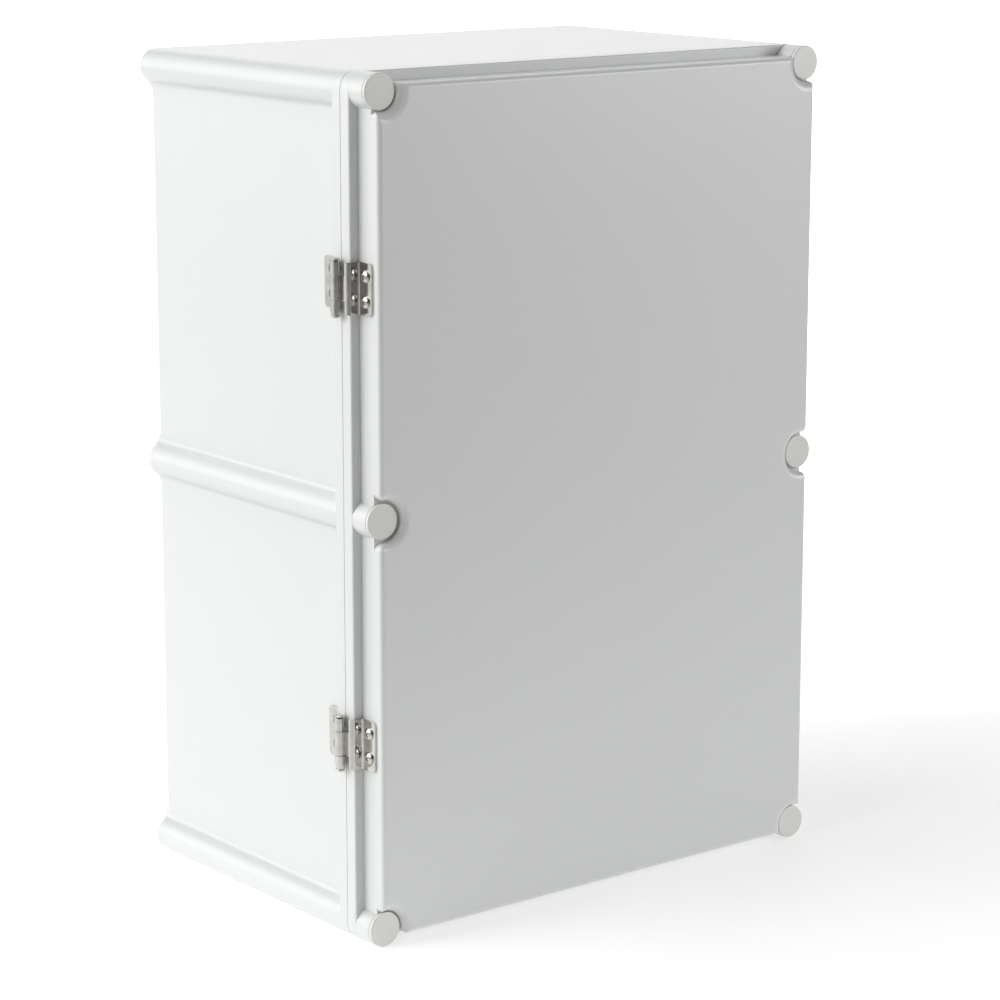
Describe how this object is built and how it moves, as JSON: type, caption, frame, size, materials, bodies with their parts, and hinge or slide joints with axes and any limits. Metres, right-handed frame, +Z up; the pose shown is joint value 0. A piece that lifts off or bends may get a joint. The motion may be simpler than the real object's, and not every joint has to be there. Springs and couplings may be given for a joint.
{
  "type": "hinged polycarbonate enclosure",
  "caption": "Tall wall-mount plastic enclosure: deep ribbed base and a side-hinged cover with a raised panel, closed by captive screws under round caps.",
  "frame": {"origin": "centre of the four wall-fixing holes, on the rear face of the base", "axes": "+X to the right seen from the front, +Z up, +Y into the wall; the cover faces -Y"},
  "size_m": [0.3878, 0.261, 0.56],
  "materials": {
    "case_polycarbonate": "light grey moulded polycarbonate, semi-gloss",
    "cover_polycarbonate": "light grey moulded polycarbonate, semi-gloss",
    "cap_polycarbonate": "light grey moulded polycarbonate, semi-gloss",
    "gasket_foam": "foamed polyurethane",
    "insert_brass": "turned brass",
    "hinge_stainless": "polished stainless sheet",
    "screw_stainless": "stainless screws"
  },
  "bodies": {
    "base": {"base_shell": "case_polycarbonate", "tower_inserts": "insert_brass", "plate_inserts": "insert_brass", "hinge_base_leaf_upper": "hinge_stainless", "hinge_base_leaf_lower": "hinge_stainless", "hinge_pin_upper": "hinge_stainless", "hinge_pin_lower": "hinge_stainless", "hinge_base_screws": "screw_stainless", "hinge_base_nuts": "screw_stainless"},
    "cover": {"cover_shell": "cover_polycarbonate", "cover_gasket": "gasket_foam", "hinge_cover_leaf_upper": "hinge_stainless", "hinge_cover_leaf_lower": "hinge_stainless", "hinge_cover_screws": "screw_stainless", "hinge_cover_nuts": "screw_stainless"},
    "screw_top_left": {"cover_screw_top_left": "screw_stainless"},
    "screw_mid_left": {"cover_screw_mid_left": "screw_stainless"},
    "screw_bottom_left": {"cover_screw_bottom_left": "screw_stainless"},
    "screw_top_right": {"cover_screw_top_right": "screw_stainless"},
    "screw_mid_right": {"cover_screw_mid_right": "screw_stainless"},
    "screw_bottom_right": {"cover_screw_bottom_right": "screw_stainless"},
    "cap_top_left": {"screw_cap_top_left": "cap_polycarbonate"},
    "cap_mid_left": {"screw_cap_mid_left": "cap_polycarbonate"},
    "cap_bottom_left": {"screw_cap_bottom_left": "cap_polycarbonate"},
    "cap_top_right": {"screw_cap_top_right": "cap_polycarbonate"},
    "cap_mid_right": {"screw_cap_mid_right": "cap_polycarbonate"},
    "cap_bottom_right": {"screw_cap_bottom_right": "cap_polycarbonate"}
  },
  "joints": [
    {"name": "cover_hinge", "type": "hinge", "parent": "base", "child": "cover", "pos_m": [-0.1948, -0.231, 0], "axis": [0, 0, -1], "range_deg": [0, 180]},
    {"name": "screw_travel_top_left", "type": "slide", "parent": "cover", "child": "screw_top_left", "axis": [0, 1, 0], "range_m": [0, 0.008]},
    {"name": "screw_travel_mid_left", "type": "slide", "parent": "cover", "child": "screw_mid_left", "axis": [0, 1, 0], "range_m": [0, 0.008]},
    {"name": "screw_travel_bottom_left", "type": "slide", "parent": "cover", "child": "screw_bottom_left", "axis": [0, 1, 0], "range_m": [0, 0.008]},
    {"name": "screw_travel_top_right", "type": "slide", "parent": "cover", "child": "screw_top_right", "axis": [0, 1, 0], "range_m": [0, 0.008]},
    {"name": "screw_travel_mid_right", "type": "slide", "parent": "cover", "child": "screw_mid_right", "axis": [0, 1, 0], "range_m": [0, 0.008]},
    {"name": "screw_travel_bottom_right", "type": "slide", "parent": "cover", "child": "screw_bottom_right", "axis": [0, 1, 0], "range_m": [0, 0.008]},
    {"name": "cap_pull_top_left", "type": "slide", "parent": "cover", "child": "cap_top_left", "axis": [0, -1, 0], "range_m": [0, 0.02]},
    {"name": "cap_pull_mid_left", "type": "slide", "parent": "cover", "child": "cap_mid_left", "axis": [0, -1, 0], "range_m": [0, 0.02]},
    {"name": "cap_pull_bottom_left", "type": "slide", "parent": "cover", "child": "cap_bottom_left", "axis": [0, -1, 0], "range_m": [0, 0.02]},
    {"name": "cap_pull_top_right", "type": "slide", "parent": "cover", "child": "cap_top_right", "axis": [0, -1, 0], "range_m": [0, 0.02]},
    {"name": "cap_pull_mid_right", "type": "slide", "parent": "cover", "child": "cap_mid_right", "axis": [0, -1, 0], "range_m": [0, 0.02]},
    {"name": "cap_pull_bottom_right", "type": "slide", "parent": "cover", "child": "cap_bottom_right", "axis": [0, -1, 0], "range_m": [0, 0.02]}
  ]
}
